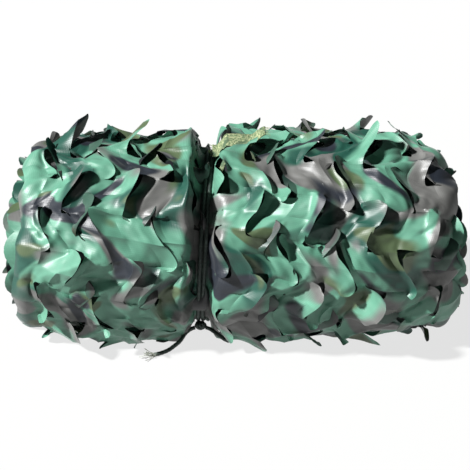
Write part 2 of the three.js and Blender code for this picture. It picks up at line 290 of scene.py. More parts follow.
# %% Leaf shape
LEAF_LIFT = (12 * MM, 22 * MM)
TIE_PRESS = 0.5
SLIGHT_LIFT = (0 * MM, 16 * MM)
HINGE_SOFTNESS = 2 * MM
DRAW_SHARE = 0.3
EDGE_LIFT = (3 * MM, 11 * MM)
EDGE_REACH = 20 * MM
CURL = (-0.4, 0.2)
ROUNDNESS = (0.2, 0.7)


class Leaf:
    """A tongue beside a slit: side -1 is left, end -1 is up, and the hook's length is in grid steps."""

    def __init__(self, side, end, hook, lift, edge, curled=0.3, roundness=0.62):
        self.side, self.end, self.hook, self.edge, self.curled = side, end, hook, edge, curled
        self.width, self.half = hook * CELL_X, HALF_SLIT * CELL_V
        self.corner = roundness * self.width
        self.norm = math.hypot(self.width, 2 * self.half)
        self.depth = 2 * self.width * self.half / self.norm
        self.angle = math.asin(max(-0.5, min(0.97, lift / self.depth)))

    def cut(self, k, j):
        """How far the rounded corner moves a point in from the square grid, across and along the slit."""
        u, w = abs(k) * CELL_X, self.end * j * CELL_V
        x = min(1, max(0, 1 - u / self.corner))
        y = min(1, max(0, 1 - (self.half - w) / self.corner))
        across = self.corner * x * (1 - math.sqrt(1 - y * y / 2))
        along = self.corner * y * (1 - math.sqrt(1 - x * x / 2))
        return np.array([self.side * across, -self.end * along])

    def shift(self, k, j):
        """Move across, move along and rise of a point of the leaf when it swings up."""
        u, w = abs(k) * CELL_X, self.end * j * CELL_V
        off = (self.width * (w + self.half) - 2 * self.half * u) / self.norm
        arm = (off + math.hypot(off, HINGE_SOFTNESS)) / 2
        angle = self.angle * (1 - self.curled / 2 + self.curled * arm / self.depth)
        drawn = DRAW_SHARE * arm * (1 - math.cos(angle))
        across = 2 * self.half / self.norm * drawn
        along = self.width / self.norm * drawn
        spread = self.edge * math.exp(-((u / EDGE_REACH) ** 2)) * (1 - (w / self.half) ** 4)
        return np.array([self.side * across, -self.end * along, arm * math.sin(angle) + spread])


def leaves_beside(column, row):
    """The leaf with its corner at the slit's upper end, and the one with its corner at the lower end."""
    strong = column % 2 == 0
    hand = 1 if strong else -1
    lift = between(LEAF_LIFT if strong else SLIGHT_LIFT, chance(column, row, 1))
    if abs(column_x(column) - TIE_X) < COLUMN_PITCH / 2:
        lift *= TIE_PRESS
    edge = between(EDGE_LIFT, chance(column, row, 3))
    hook = (LONG_HOOKS if strong else SHORT_HOOKS)[int(4 * chance(column, row, 6))]
    curled = between(CURL, chance(column, row, 7))
    roundness = between(ROUNDNESS, chance(column, row, 10))
    upper = Leaf(-hand, -1, hook, lift, edge if strong else edge / 3, curled, roundness)
    hook = SHORT_HOOKS[int(4 * chance(column, row, 8))]
    lower = Leaf(hand, 1, hook, between(SLIGHT_LIFT, chance(column, row, 2)), -edge / 2)
    return upper, lower


# %% Leaf-cut sheet


class LeafCutSheet:
    """One turn of slit cloth: a grid closed round the roll, with second copies of points along slits."""

    def __init__(self, first, last, chance_shift=0, lift_share=1.0):
        self.first = first
        self.across = (last - first + 2) * CELLS_ACROSS
        grid = np.meshgrid(np.arange(self.across + 1), np.arange(AROUND), indexing="ij")
        self.grid = [np.array(pair, dtype=float) for pair in np.stack(grid, axis=-1).reshape(-1, 2)]
        self.cut = [np.zeros(2) for _ in self.grid]
        self.move = [np.zeros(3) for _ in self.grid]
        self.second = {}
        for column, row, a0, b0 in slits(first, last):
            upper, lower = leaves_beside(column + chance_shift, row)
            upper.angle *= lift_share
            lower.angle *= lift_share
            self.swing_up(a0, b0, upper)
            self.swing_up(a0, b0, lower)
            self.part_along(column, a0, b0, upper, lower)
        self.grid, self.cut, self.move = (np.array(values) for values in (self.grid, self.cut, self.move))

    def point(self, a, b):
        return int(a) * AROUND + int(b) % AROUND

    def swing_up(self, a0, b0, leaf):
        """Moves the points inside a leaf, between the slit's ends."""
        for k in range(1, CELLS_ACROSS):
            for j in range(1 - HALF_SLIT, HALF_SLIT):
                spot = self.point(a0 + leaf.side * k, b0 + j)
                self.move[spot] = self.move[spot] + leaf.shift(k, j)
                self.cut[spot] = self.cut[spot] + leaf.cut(k, j)

    def part_along(self, column, a0, b0, upper, lower):
        """Gives points along the slit and its hooks a copy, for the upper leaf or the cloth below."""
        leaf, other = ("W", "E") if upper.side < 0 else ("E", "W")
        for k in range(1, upper.hook):
            self.add_copy(a0, b0, upper.side * k, -HALF_SLIT, ("SW", "SE"), upper, None)
        for k in range(1, lower.hook):
            self.add_copy(a0, b0, lower.side * k, HALF_SLIT, ("SW", "SE"), None, lower)
        self.add_copy(a0, b0, 0, -HALF_SLIT, ("S" + leaf,), upper, None)
        self.add_copy(a0, b0, 0, HALF_SLIT, ("N" + leaf, "S" + leaf, "S" + other), None, lower)
        for j in range(1 - HALF_SLIT, HALF_SLIT):
            self.add_copy(a0, b0, 0, j, ("N" + leaf, "S" + leaf), upper, lower)

    def add_copy(self, a0, b0, k, j, corners, copy_leaf, first_leaf):
        a, b = a0 + k, (b0 + j) % AROUND
        first = self.point(a, b)
        for corner in corners:
            self.second[a, b, corner] = len(self.grid)
        self.grid.append(np.array([a, b], dtype=float))
        self.move.append(self.move[first] + (copy_leaf.shift(k, j) if copy_leaf else 0))
        self.cut.append(self.cut[first] + (copy_leaf.cut(k, j) if copy_leaf else 0))
        if first_leaf:
            self.move[first] = self.move[first] + first_leaf.shift(k, j)
            self.cut[first] = self.cut[first] + first_leaf.cut(k, j)

    def faces(self):
        """Quads whose corners take the second copy of a point where the slit says so."""
        for a in range(self.across):
            for b in range(AROUND):
                corners = ((a, b, "SE"), (a, b + 1, "NE"), (a + 1, b + 1, "NW"), (a + 1, b, "SW"))
                yield [self.second.get((i, j % AROUND, q), self.point(i, j)) for i, j, q in corners]


sheet = LeafCutSheet(-7, 6)
print("outer turn:", len(sheet.grid), "points,", len(sheet.second), "slit corners")

# %% [markdown]
# ## Winding the sheet on
# The sheet's grid lines swing from side to side, so the bands between the slits zigzag. Near the
# tie the swing and the leaves fade, because the cord holds the cloth down there, and past the
# shoulders they fade as the cloth turns in over the ends. The held points are the bridges between
# slit ends, where the netting is knotted.

# %% Wound shape
BASE_HEIGHT = 2 * MM
TIE_HOLD = 9 * MM
WARP = 4.5 * MM
UNEVEN = 2 * MM
FACET_CELLS = 6
CREASED_SHARE = 0.75
FACET_HEIGHT = (-4 * MM, 11 * MM)
GROOVE_FILL = 0.3
TIE_SWAY = 3 * MM
TIE_FLAT = 4 * MM
LOOSE_REACH = 11 * MM
SWING_REACH = 30 * MM
FADE_REACH = (HALF_LENGTH - 40 * MM, HALF_LENGTH + 10 * MM)
FADED_SHARE = 0.7
NOISE_ALONG = 16
NOISE_AROUND = 2.2
BRIDGE_CELLS = (1.6, 3.2)
END_HOLD = 4 * MM
SEAM_ROW = 69
SHORTEST_LEAF = 0.6 * MM


def slow_noise(x, angle, seed):
    """A slow random rise and fall over the roll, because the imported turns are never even."""
    return np.array([
        noise.noise((px * NOISE_ALONG + seed, math.sin(pa) * NOISE_AROUND, math.cos(pa) * NOISE_AROUND))
        for px, pa in zip(x, angle)
    ])


def facets(grid, seed):
    """Random heights at every sixth grid point, joined by flat triangles with a crease between them."""
    place = grid / FACET_CELLS
    corner = np.floor(place)
    u, v = (place - corner).T

    def at(i, j):
        return chance(corner[:, 0] + i, (corner[:, 1] + j) % (AROUND // FACET_CELLS), seed)

    near = at(0, 0) + u * (at(1, 0) - at(0, 0)) + v * (at(0, 1) - at(0, 0))
    far = at(1, 1) + (1 - u) * (at(0, 1) - at(1, 1)) + (1 - v) * (at(1, 0) - at(1, 1))
    return np.where(u + v < 1, near, far)


def wound_points(sheet, inset, offset=(0, 0)):
    flat_x = column_x(sheet.first - 1) + sheet.grid[:, 0] * CELL_X
    periods = sheet.grid[:, 1] / CELLS_ALONG
    sway = TIE_SWAY * (1 + np.sin(TURN * periods + 2 * np.sign(flat_x - TIE_X)))
    from_tie = np.abs(flat_x - TIE_X) - TIE_FLAT - sway
    loose = smooth_step(0, LOOSE_REACH, from_tie)
    fade = 1 - FADED_SHARE * smooth_step(*FADE_REACH, np.abs(flat_x))
    swing = -ZIGZAG_REACH * fade * smooth_step(0, SWING_REACH, from_tie) * np.sin(TURN * periods)
    x = flat_x + swing + sheet.move[:, 0] * loose + sheet.cut[:, 0] + offset[0]
    down = periods + offset[1] + (sheet.move[:, 1] * loose + sheet.cut[:, 1]) / PERIOD_LENGTH
    angle = row_angle(x, down)
    cinch = cinch_share(x, angle)
    creased = between(FACET_HEIGHT, facets(sheet.grid, 9 + inset / MM))
    height = BASE_HEIGHT * (1 - cinch) - inset + sheet.move[:, 2] * loose
    height += (creased + UNEVEN * slow_noise(x, angle, 0) + GROOVE_FILL * CINCH_DEPTH * cinch) * loose
    x += WARP * slow_noise(x, angle, 40) * loose * fade
    angle += WARP / RADIUS_Z * slow_noise(x, angle, 80) * loose
    points = over_roll(x, angle, height)
    points[:, 2] = np.maximum(points[:, 2], SHORTEST_LEAF + inset)
    return points


def flat_points(sheet, start):
    """Where each point is on the flat cloth, in metres."""
    corner = np.array([column_x(sheet.first - 1), start])
    down = (sheet.grid[:, 1] - SEAM_ROW) % AROUND
    return corner + np.stack([sheet.grid[:, 0] * CELL_X, down * CELL_V], axis=-1) + sheet.cut


def bridge_weights(sheet):
    """1 at the bridges between slit ends, under the tie and where the cloth turns in at the ends."""
    a, b = sheet.grid.T
    column = a / CELLS_ACROSS - 1 + sheet.first
    nearest = np.round(column)
    off_x = (column - nearest) * CELLS_ACROSS
    middle = np.where(nearest % 2 == 0, 0, CELLS_ALONG // 2)
    off_v = (b - middle) % CELLS_ALONG - CELLS_ALONG // 2
    bridge = np.hypot(off_x / BRIDGE_CELLS[0], off_v / BRIDGE_CELLS[1]) < 1
    flat_x = column_x(column)
    under_tie = np.abs(flat_x - TIE_X) < TIE_HOLD
    at_ends = np.abs(flat_x) > HALF_LENGTH - END_HOLD
    return (bridge | under_tie | at_ends).astype(float)


def unwrap_seam(cloth, length):
    """Where the sheet closes on itself, the last row's faces get coordinates past its end."""
    layer = cloth.data.uv_layers["cloth"].data
    for face in cloth.data.polygons:
        highest = max(layer[i].uv[1] for i in face.loop_indices)
        for i in face.loop_indices:
            if layer[i].uv[1] < highest - length / 2:
                layer[i].uv[1] += length


def crease(cloth, sheet):
    """Marks the grid lines between facets, so that they stay sharp when the mesh is made finer."""
    mesh = cloth.data
    ends = np.empty(2 * len(mesh.edges), dtype=np.int32)
    mesh.edges.foreach_get("vertices", ends)
    first, second = sheet.grid[ends[::2]], sheet.grid[ends[1::2]]
    on_line = (first == second) & (first % FACET_CELLS == 0)
    column, row = first.T // FACET_CELLS
    sharp = on_line.any(axis=1) & (chance(column, row, 13) < CREASED_SHARE)
    values = mesh.attributes.new("crease_edge", "FLOAT", "EDGE")
    values.data.foreach_set("value", np.where(sharp, 1.0, 0.0))
    mesh.attributes.new("sharp_edge", "BOOLEAN", "EDGE").data.foreach_set("value", sharp)
    print("creased edges:", int(sharp.sum()))


def wind_on(name, sheet, inset, print_start, offset=(0, 0)):
    points = wound_points(sheet, inset, offset)
    cloth = make_mesh(name, points, list(sheet.faces()), flat_points(sheet, print_start))
    unwrap_seam(cloth, AROUND * CELL_V)
    crease(cloth, sheet)
    print(f"{name}: {len(points)} points, {len(cloth.data.polygons)} faces")
    return cloth


outer_cloth = wind_on("leaf_cloth_outer_turn", sheet, 0, 0.0)
unsettled_places = points_of(outer_cloth.data)

# %% [markdown]
# ## Letting the cloth find its folds
# Slit cloth isn't smooth: each leg of a band stays nearly flat and turns along a crease, because
# cloth bends but hardly stretches. A short cloth simulation gives those folds. The cloth is given
# seven parts in a hundred more length than it has room for, the bridges stay where the netting
# holds them, and the spare cloth buckles between them.

# %% Cloth simulation
SPARE_CLOTH = 0.07
SETTLE_FRAMES = 10
DEEPEST_FOLD = -7 * MM
TIE_CLEAR = 7 * MM
FARTHEST_MOVE = 13 * MM
END_MARGIN = 10 * MM
CLOTH_SETTINGS = {
    "shrink_min": -SPARE_CLOTH, "quality": 5, "mass": 0.02, "air_damping": 2, "vertex_group_mass": "held",
    "tension_stiffness": 40, "compression_stiffness": 40, "shear_stiffness": 15, "bending_stiffness": 0.1,
}


def keep_above(cloth, floor_height):
    """Lifts points that buckled inwards past a depth below the surface, and past the ground."""
    points = points_of(cloth.data)
    angle, out = round_roll(points)
    side_x = np.clip(points[:, 0], -HALF_LENGTH, HALF_LENGTH)
    lowest = roll_radius(side_x, angle) + floor_height
    on_side = np.abs(points[:, 0]) < HALF_LENGTH - END_MARGIN
    stretch = np.where(on_side & (out < lowest), lowest / out, 1)
    points[:, 1] *= stretch
    points[:, 2] = np.maximum(AXIS_Z + (points[:, 2] - AXIS_Z) * stretch, SHORTEST_LEAF)
    move_points(cloth.data, points)


def clear_the_tie(cloth):
    """Pushes leaves that lean over the cord back to its sides."""
    points = points_of(cloth.data)
    angle, out = round_roll(points)
    middle = tie_x(angle)
    off = points[:, 0] - middle
    over = (np.abs(off) < TIE_CLEAR) & (out - roll_radius(middle, angle) > 0.2 * MM)
    points[over, 0] = (middle + np.sign(off) * TIE_CLEAR)[over]
    move_points(cloth.data, points)


def settle(cloth, sheet, frames):
    held = cloth.vertex_groups.new(name="held")
    held.add([int(i) for i in np.flatnonzero(bridge_weights(sheet))], 1.0, "REPLACE")
    modifier = cloth.modifiers.new("cloth", "CLOTH")
    for key, value in CLOTH_SETTINGS.items():
        setattr(modifier.settings, key, value)
    modifier.settings.effector_weights.gravity = 0
    modifier.collision_settings.use_collision = False
    for number in range(1, frames + 1):
        scene.frame_set(number)
    start = points_of(cloth.data)
    settled = applied(cloth)
    move = points_of(settled) - start
    way = np.linalg.norm(move, axis=1, keepdims=True)
    move *= np.minimum(1, FARTHEST_MOVE / np.maximum(way, 1e-9))
    print(f"half the points moved more than {np.median(way) / MM:.1f} mm")
    move_points(settled, start + move)
    cloth.data = settled
    scene.frame_set(1)
    keep_above(cloth, DEEPEST_FOLD)
    clear_the_tie(cloth)


def finer(piece):
    """One level of subdivision, applied."""
    modifier = piece.modifiers.new("finer", "SUBSURF")
    modifier.levels = modifier.render_levels = 1
    piece.data = applied(piece)


settle(outer_cloth, sheet, SETTLE_FRAMES)
finer(outer_cloth)
print("outer turn:", len(outer_cloth.data.polygons), "faces")

inner_sheet = LeafCutSheet(-7, 6, chance_shift=32, lift_share=0.9)
inner_cloth = wind_on("leaf_cloth_second_turn", inner_sheet, 13 * MM, 0.77, (17 * MM, 0.3))

# %% [markdown]
# ## The turns underneath
# Through the slits one sees the next turn, and under it only darkness between the imported layers.
# A closed surface two centimetres down stands for all those turns and stops the light.
# The next turn and this surface both carry the print darkened to about a quarter, as painted shade.

# %% Packed core
CORE_INSET = 20 * MM
CORE_AROUND = 96
CORE_SIDE = HALF_LENGTH - 4 * MM
CORE_FLOOR = 2 * MM


def packed_core():
    past = HALF_LENGTH + END_TAPER * (1 - np.linspace(0.12, 0.96, 8))
    along = np.concatenate([-past, np.linspace(-1, 1, 61) * CORE_SIDE, past[::-1]])
    x, angle = np.meshgrid(along, np.arange(CORE_AROUND) / CORE_AROUND * TURN, indexing="ij")
    points = over_roll(x.ravel(), angle.ravel(), -CORE_INSET)
    points[:, 2] = np.maximum(points[:, 2], CORE_FLOOR)
    faces = list(quads(len(along), CORE_AROUND, round_columns=True))
    faces.append(tuple(range(CORE_AROUND)))
    faces.append(tuple(reversed(range(len(points) - CORE_AROUND, len(points)))))
    return make_mesh("packed_core", points, faces)


core = packed_core()
print("packed core:", len(core.data.polygons), "faces")

# %% [markdown]
# ## Cords
# The tie and its loose ends are braided cord. Each is a tube along a route, with the route's
# length in its UV map so that the braid can follow it.

# %% Tube along a route
CORD_DIAMETER = 5 * MM
ROUTE_STEP = 1.1 * MM
SPLINE_STEPS = 12
BRAID_BASE = 0.94
BRAID_HEIGHT = 0.09
BRAID_TWIST = 3.2


def run_along(line):
    """Distance gone along a line at each of its points."""
    return np.concatenate([[0], np.cumsum(np.linalg.norm(np.diff(line, axis=0), axis=1))])


def smooth_route(points, step, closed=False):
    """A Catmull-Rom curve through given points, in even steps."""
    knots = [Vector(p) for p in points]
    count = len(knots)
    fine = []
    for i in range(count if closed else count - 1):
        p1, p2 = knots[i], knots[(i + 1) % count]
        p0 = knots[i - 1] if closed or i > 0 else p1 * 2 - p2
        p3 = knots[(i + 2) % count] if closed or i + 2 < count else p2 * 2 - p1
        for j in range(SPLINE_STEPS):
            t = j / SPLINE_STEPS
            near = 2 * p1 + (p2 - p0) * t + (2 * p0 - 5 * p1 + 4 * p2 - p3) * t**2
            fine.append(0.5 * (near + (3 * p1 - p0 - 3 * p2 + p3) * t**3))
    line = np.array(fine + [fine[0] if closed else knots[-1]])
    run = run_along(line)
    places = np.linspace(0, run[-1], max(2, round(run[-1] / step)) + 1)
    even = np.stack([np.interp(places, run, line[:, i]) for i in range(3)], axis=-1)
    return even[:-1] if closed else even


def tube(route, diameter, closed=False, sides=16):
    """Points, faces and flat coordinates of a braided tube along a route."""
    if closed:
        ahead, behind = np.roll(route, -1, axis=0), np.roll(route, 1, axis=0)
    else:
        ahead = np.concatenate([route[1:], route[-1:] * 2 - route[-2:-1]])
        behind = np.concatenate([route[:1] * 2 - route[1:2], route[:-1]])
    tangents = ahead - behind
    tangents /= np.linalg.norm(tangents, axis=1, keepdims=True)
    across = np.cross(tangents[0], [0.3, 0.1, 1.0])
    points, flat = [], []
    for middle, tangent, gone in zip(route, tangents, run_along(route)):
        across = across - tangent * np.dot(across, tangent)
        across /= np.linalg.norm(across)
        up = np.cross(tangent, across)
        twist = gone / diameter * BRAID_TWIST
        for s in range(sides):
            turn = TURN * s / sides
            braid = BRAID_HEIGHT * math.cos(4 * turn + twist) * math.cos(4 * turn - twist)
            radius = diameter / 2 * (BRAID_BASE + braid)
            points.append(middle + radius * (math.cos(turn) * across + math.sin(turn) * up))
            flat.append((turn / TURN * math.pi * diameter, gone))
    faces = list(quads(len(route), sides, round_rows=closed, round_columns=True, flip=True))
    if not closed:
        faces.append(tuple(reversed(range(sides))))
        faces.append(tuple(range(len(points) - sides, len(points))))
    return points, faces, flat


def side_by_side(*shapes):
    """Puts several shapes' points, faces and flat coordinates into one."""
    points, faces, flat = [], [], []
    for more_points, more_faces, more_flat in shapes:
        start = len(points)
        points += list(more_points)
        faces += [tuple(i + start for i in face) for face in more_faces]
        flat += list(more_flat)
    return points, faces, flat


# %% The doubled tie
TIE_STEPS = 240
STRAND_OFFSET = 2.65 * MM
CORD_LIFT = 0.3 * MM
CORD_WAVER = 0.25 * MM


def cord_piece(name, node_name, route, closed=False):
    """A cord along a route, in place of its solid."""
    path = smooth_route(route, ROUTE_STEP, closed)
    piece = make_mesh(name, *tube(path, CORD_DIAMETER, closed))
    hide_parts(node_name)
    return piece, path


def tie_strand(side, name, node_name):
    angles = np.arange(TIE_STEPS) / TIE_STEPS * TURN
    route = over_roll(tie_x(angles) + side * STRAND_OFFSET, angles, CORD_LIFT + CORD_DIAMETER / 2)
    waver = np.stack([np.sin(5 * angles + side), np.zeros(TIE_STEPS), np.sin(7 * angles)], axis=-1)
    return cord_piece(name, node_name, route + CORD_WAVER * waver, closed=True)[0]


strands = [
    tie_strand(-1, "tie_left", "tie_strand_left"),
    tie_strand(1, "tie_right", "tie_strand_right"),
]
print("tie strands:", [len(s.data.polygons) for s in strands])

# %% The loose ends
FREE_END_ROUTE = MM * np.array([
    (-48.8, -75, 18.4), (-54, -77.5, 17.5), (-60, -83, 15), (-66, -93, 10.5), (-73, -98, 6.4),
    (-80, -103, 3.6), (-88, -108, 2.8), (-96, -112, 2.8),
])
SHORT_END_ROUTE = MM * np.array([
    (-34.9, -75, 18.4), (-29.5, -77.5, 17.5), (-21, -85, 15), (-13, -91, 12), (-7, -93, 10),
])

free_end, free_path = cord_piece("tie_long_end", "tie_free_end", FREE_END_ROUTE)
short_end, short_path = cord_piece("tie_stub_end", "tie_short_end", SHORT_END_ROUTE)
print("loose ends:", len(free_path), "and", len(short_path), "points")

# %% [markdown]
# ## The knot
# The cord's ends are tied in front, low down, in an overhand knot. Three turns of the same cord,
# tilted across each other, read as that knot from any side.

# %% The knot
KNOT_ANGLE = 2.42
KNOT_SIZE = 11 * MM
KNOT_STEPS = 36
KNOT_TURNS = ((-0.5, 0.15, 1.0), (0.6, -0.2, 0.95), (1.5, 0.1, 0.6))


def tie_knot():
    """Three turns, each with its tilt, its lean and its size as a share of the knot's."""
    outwards = np.array([0, -math.sin(KNOT_ANGLE), math.cos(KNOT_ANGLE)])
    across = np.array([0, math.cos(KNOT_ANGLE), math.sin(KNOT_ANGLE)])
    along = np.array([1.0, 0, 0])
    x = tie_x(KNOT_ANGLE)
    height = roll_radius(x, KNOT_ANGLE) + 2 * CORD_LIFT + CORD_DIAMETER + KNOT_SIZE / 2
    middle = np.array([x, 0, AXIS_Z]) + height * outwards
    angle = np.arange(KNOT_STEPS)[:, None] / KNOT_STEPS * TURN
    turns = []
    for tilt, lean, size in KNOT_TURNS:
        right = along * math.cos(tilt) + across * math.sin(tilt)
        front = across * math.cos(tilt) - along * math.sin(tilt) + lean * outwards
        oval = 1.05 * np.cos(angle) * right + 0.72 * np.sin(angle) * outwards
        ring = middle + size * KNOT_SIZE / 2 * oval + 0.12 * KNOT_SIZE * np.cos(2 * angle) * front
        path = smooth_route(ring, 0.9 * MM, closed=True)
        turns.append(tube(path, CORD_DIAMETER * 0.8, closed=True, sides=12))
    knot = make_mesh("tie_overhand_knot", *side_by_side(*turns))
    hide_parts("tie_knot")
    return knot


knot = tie_knot()
print("knot:", len(knot.data.polygons), "faces")

# %% [markdown]
# ## Edge tape
# The net's edge is bound with a coarse woven tape. A piece of it bridges the tie's groove on top
# of the roll, kicks up at its right end, and a narrow tail of it hangs towards the tie. Both are
# thin grids with a slight waver along their edges, given a thickness by Solidify.

# %% Tape and tail
TAPE_WIDTH = 18 * MM
TAPE_START = -27 * MM
TAPE_END = 36 * MM
TAPE_ANGLE = 0.02
TAPE_HEIGHT = 7.7 * MM
TAPE_KICK = 12 * MM
TAPE_FACE = 0.5
TAPE_BRIDGING = 0.35
TAPE_THICKNESS = 1.2 * MM
TAPE_CELL = 1.3 * MM
TAIL_LENGTH = 34 * MM
TAIL_WIDTH = 5 * MM
TAIL_X = (-4 * MM, -22 * MM)
TAIL_ANGLE = (0.24, 0.5)
TAIL_HEIGHT = 7 * MM
TAIL_SLANT = -0.55
TAPE_GRAIN = 0.35
TAPE_WAVE = 0.5 * MM
TAPE_RIPPLE = 0.35 * MM
TAPE_WAVER = 0.08


def tape_place(share):
    """Middle, across and up at a share of the tape's length."""
    x = TAPE_START + share * (TAPE_END - TAPE_START)
    face = TAPE_FACE - 0.35 * smooth_step(0.6, 1, share)
    level = TAPE_BRIDGING * (roll_radius(TAPE_END, TAPE_ANGLE) - roll_radius(x, TAPE_ANGLE))
    middle = over_roll(x, TAPE_ANGLE, TAPE_HEIGHT + level + TAPE_KICK * smooth_step(0.7, 1, share))
    sine, cosine = math.sin(face), math.cos(face)
    return middle, np.array([0, cosine, sine]), np.array([0, -sine, cosine])


def tail_place(share):
    x, angle = between(TAIL_X, share), between(TAIL_ANGLE, share)
    up = np.array([0, -math.sin(angle), math.cos(angle)])
    slope = np.array([TAIL_SLANT, -math.cos(angle), -math.sin(angle)])
    across = np.cross(up, slope)
    return over_roll(x, angle, TAIL_HEIGHT), across / np.linalg.norm(across), up


def tape_strip(name, place, length, width, node_name):
    along_steps, across_steps = round(length / TAPE_CELL), round(width / TAPE_CELL)
    points, flat = [], []
    for i in range(along_steps + 1):
        middle, across, up = place(i / along_steps)
        for j in range(across_steps + 1):
            off = j / across_steps - 0.5
            spot = Vector((i * TAPE_GRAIN, j * TAPE_GRAIN, len(name)))
            edge = 1 + TAPE_WAVER * noise.noise(spot * 2.1) * abs(off) * 2
            wave = TAPE_WAVE * noise.noise(spot) + TAPE_RIPPLE * math.sin(off * 9 + i * 0.2)
            points.append(middle + across * off * width * edge + up * wave)
            flat.append((i / along_steps * length, off * width))
    strip = make_mesh(name, points, quads(along_steps + 1, across_steps + 1), flat)
    wall = strip.modifiers.new("thickness", "SOLIDIFY")
    wall.thickness, wall.offset = TAPE_THICKNESS, 0
    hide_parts(node_name)
    return strip


tape = tape_strip("edge_binding_tape", tape_place, TAPE_END - TAPE_START, TAPE_WIDTH, "edge_tape")
tail = tape_strip("edge_tape_tail", tail_place, TAIL_LENGTH, TAIL_WIDTH, "tape_tail")
print("tape and tail:", len(tape.data.polygons), len(tail.data.polygons), "faces")

# %% [markdown]
# ## The wound ends
# At each end one sees the edges of all the turns, a spiral of cloth that stands out unevenly and
# is cut into leaves as well. A ribbon wound from the rim to the middle, with an outer edge that
# rises and falls leaf by leaf and leans in and out, gives that spiral.

# %% Wound ends
END_TURNS = 7
SPIRAL_RIM = 0.86
SPIRAL_REACH = 0.8
SPIRAL_BEND = 0.92
RIBBON_LEAN = 0.06
TONGUE_LEAN = 0.04
END_STEPS = 84
RIBBON_ROWS = 5
RIBBON_ROOT = 12 * MM
RIBBON_CLOTH = 30 * MM
RIBBON_FLOOR = 1.5 * MM
LEAF_EDGE = (1 * MM, 13 * MM)
LEAF_RUN = 46 * MM


def end_point(side, share, angle, height):
    rim = roll_radius(side * HALF_LENGTH, angle) * share
    slump = -END_SLUMP * side * math.cos(angle) * share
    x = side * (HALF_LENGTH + end_crown(share)) + slump + side * height
    z = max(AXIS_Z + rim * math.cos(angle), RIBBON_FLOOR)
    return np.array([x, -rim * math.sin(angle), z])


def end_turns(name, side):
    points, flat = [], []
    count = END_TURNS * END_STEPS
    run = 0.0
    for i in range(count + 1):
        share = SPIRAL_RIM - SPIRAL_REACH * (i / count) ** SPIRAL_BEND
        angle = side * (i / END_STEPS) * TURN
        run += TURN / END_STEPS * max(share, 0.1) * RADIUS_Z
        size = 0.5 + 0.9 * chance(math.floor(run / LEAF_RUN), side, 5)
        tongue = math.sin(math.pi * (run / LEAF_RUN % 1)) ** 0.6 * size
        edge = between(LEAF_EDGE, tongue)
        lean = RIBBON_LEAN * noise.noise((run * 22, side * 3.1, 0.5)) + TONGUE_LEAN * (tongue - 0.5)
        for j in range(RIBBON_ROWS + 1):
            up = j / RIBBON_ROWS
            leant = min(0.97, max(0.02, share + lean * up**1.5))
            points.append(end_point(side, leant, angle, (RIBBON_ROOT + edge) * up - RIBBON_ROOT))
            flat.append((run, up * RIBBON_CLOTH))
    return make_mesh(name, points, quads(count + 1, RIBBON_ROWS + 1, flip=True), flat), run


wound_ends, wound_runs = zip(end_turns("wound_end_left", -1), end_turns("wound_end_right", 1))
print("cloth edge in each wound end:", [round(run, 2) for run in wound_runs], "m")

# %% [markdown]
# ## Tools for finishes
# A procedural material is a small network of nodes. One function adds a node, sets its settings
# and links or fills its inputs, so that each finish below reads as a list of steps. Colours are
# written as they look on a screen and turned to the linear values that light is computed with.

# %% Node helpers


def linear(hex_code):
    channels = [int(hex_code[i : i + 2], 16) / 255 for i in (1, 3, 5)]
    return (*[c / 12.92 if c <= 0.04045 else ((c + 0.055) / 1.055) ** 2.4 for c in channels], 1)


def new_material(name):
    material = bpy.data.materials.new(name)
    material.use_nodes = True
    material.node_tree.nodes.clear()
    return material, material.node_tree


def node(tree, kind, inputs=None, **settings):
    """Adds a node. An input is a value, a colour such as "#8C958A", or a socket to link to."""
    added = tree.nodes.new(kind)
    for key, value in settings.items():
        setattr(added, key, value)
    for key, value in (inputs or {}).items():
        if isinstance(value, bpy.types.NodeSocket):
            tree.links.new(value, added.inputs[key])
        elif isinstance(value, str) and value.startswith("#"):
            added.inputs[key].default_value = linear(value)
        else:
            added.inputs[key].default_value = value
    return added


def step_up(tree, value, low, high):
    """0 below one value and 1 above another, with a soft edge between."""
    limits = {"Value": value, "From Min": low, "From Max": high}
    return node(tree, "ShaderNodeMapRange", limits, interpolation_type="SMOOTHSTEP").outputs["Result"]


def in_range(tree, value, low, high):
    """Moves a value from 0 to 1 into another range."""
    limits = {"Value": value, "To Min": low, "To Max": high}
    return node(tree, "ShaderNodeMapRange", limits).outputs["Result"]


def times(tree, first, second):
    return node(tree, "ShaderNodeMath", {0: first, 1: second}, operation="MULTIPLY").outputs[0]


def blend_colours(tree, share, first, second):
    return node(tree, "ShaderNodeMix", {0: share, 6: first, 7: second}, data_type="RGBA").outputs[2]


def shaded(tree, colour, shade):
    return node(tree, "ShaderNodeHueSaturation", {"Value": shade, "Color": colour}).outputs["Color"]


def cloth_place(tree):
    """Where on the flat cloth a point is, in metres."""
    return node(tree, "ShaderNodeUVMap", uv_map="cloth").outputs["UV"]


def mottle(tree, place, scale, detail=2.0):
    inputs = {"Vector": place, "Scale": scale, "Detail": detail}
    return node(tree, "ShaderNodeTexNoise", inputs).outputs["Fac"]


def relief(tree, height, strength, distance, below=None):
    """Bumps from a height, over other bumps if there are any."""
    inputs = {"Height": height, "Strength": strength, "Distance": distance}
    if below:
        inputs["Normal"] = below
    return node(tree, "ShaderNodeBump", inputs).outputs["Normal"]


def principled(tree, colour, roughness, more=None):
    inputs = {"Base Color": colour, "Roughness": roughness, **(more or {})}
    return node(tree, "ShaderNodeBsdfPrincipled", inputs).outputs[0]


def finish_material(tree, shader):
    node(tree, "ShaderNodeOutputMaterial", {"Surface": shader})
